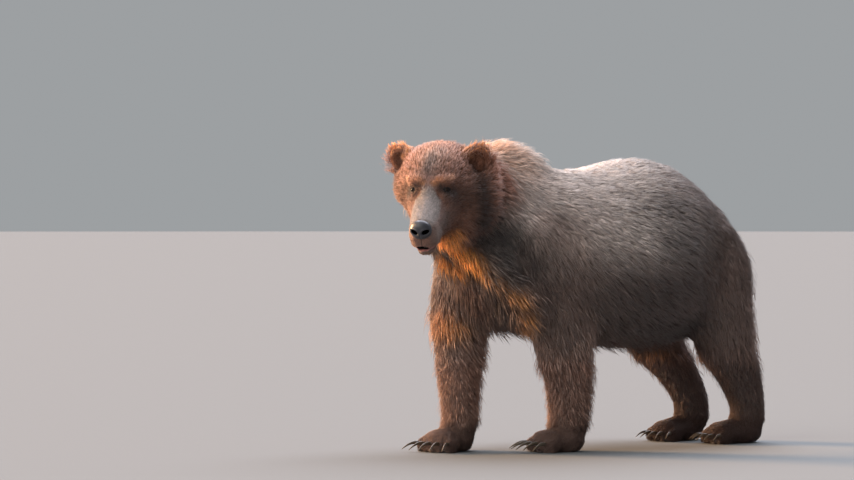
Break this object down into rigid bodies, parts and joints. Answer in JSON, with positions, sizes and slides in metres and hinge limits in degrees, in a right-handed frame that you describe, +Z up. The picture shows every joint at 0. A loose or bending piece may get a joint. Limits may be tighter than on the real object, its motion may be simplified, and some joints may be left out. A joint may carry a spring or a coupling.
{
  "type": "grizzly bear",
  "caption": "Life-size standing grizzly bear, a still animal model with its head turned to its left and its mouth slightly open.",
  "frame": {"origin": "middle of the bear's bounding box, on the floor under its paws", "axes": "+Z up, the bear faces -Y, so its left side is +X"},
  "size_m": [0.827, 2.0404, 1.3163],
  "materials": {
    "fur_brown": "brown fur",
    "fur_grizzled": "brown fur with paler grizzled tips",
    "nose_leather": "moist dark nose skin",
    "claw_horn": "horn",
    "eye": "wet dark brown eye"
  },
  "bodies": {
    "root": {"ear_left": "fur_brown", "ear_right": "fur_brown", "eye_left": "eye", "eye_right": "eye", "foreleg_left_claw_1": "claw_horn", "foreleg_left_claw_2": "claw_horn", "foreleg_left_claw_3": "claw_horn", "foreleg_left_claw_4": "claw_horn", "foreleg_left_claw_5": "claw_horn", "foreleg_left_lower": "fur_brown", "foreleg_left_paw": "fur_brown", "foreleg_left_upper": "fur_brown", "foreleg_right_claw_1": "claw_horn", "foreleg_right_claw_2": "claw_horn", "foreleg_right_claw_3": "claw_horn", "foreleg_right_claw_4": "claw_horn", "foreleg_right_claw_5": "claw_horn", "foreleg_right_lower": "fur_brown", "foreleg_right_paw": "fur_brown", "foreleg_right_upper": "fur_brown", "head": "fur_brown", "hind_leg_left_claw_1": "claw_horn", "hind_leg_left_claw_2": "claw_horn", "hind_leg_left_claw_3": "claw_horn", "hind_leg_left_claw_4": "claw_horn", "hind_leg_left_claw_5": "claw_horn", "hind_leg_left_lower": "fur_brown", "hind_leg_left_paw": "fur_brown", "hind_leg_left_upper": "fur_brown", "hind_leg_right_claw_1": "claw_horn", "hind_leg_right_claw_2": "claw_horn", "hind_leg_right_claw_3": "claw_horn", "hind_leg_right_claw_4": "claw_horn", "hind_leg_right_claw_5": "claw_horn", "hind_leg_right_lower": "fur_brown", "hind_leg_right_paw": "fur_brown", "hind_leg_right_upper": "fur_brown", "jaw": "fur_brown", "neck": "fur_brown", "nose": "nose_leather", "tail": "fur_brown", "trunk": "fur_grizzled"}
  },
  "joints": []
}
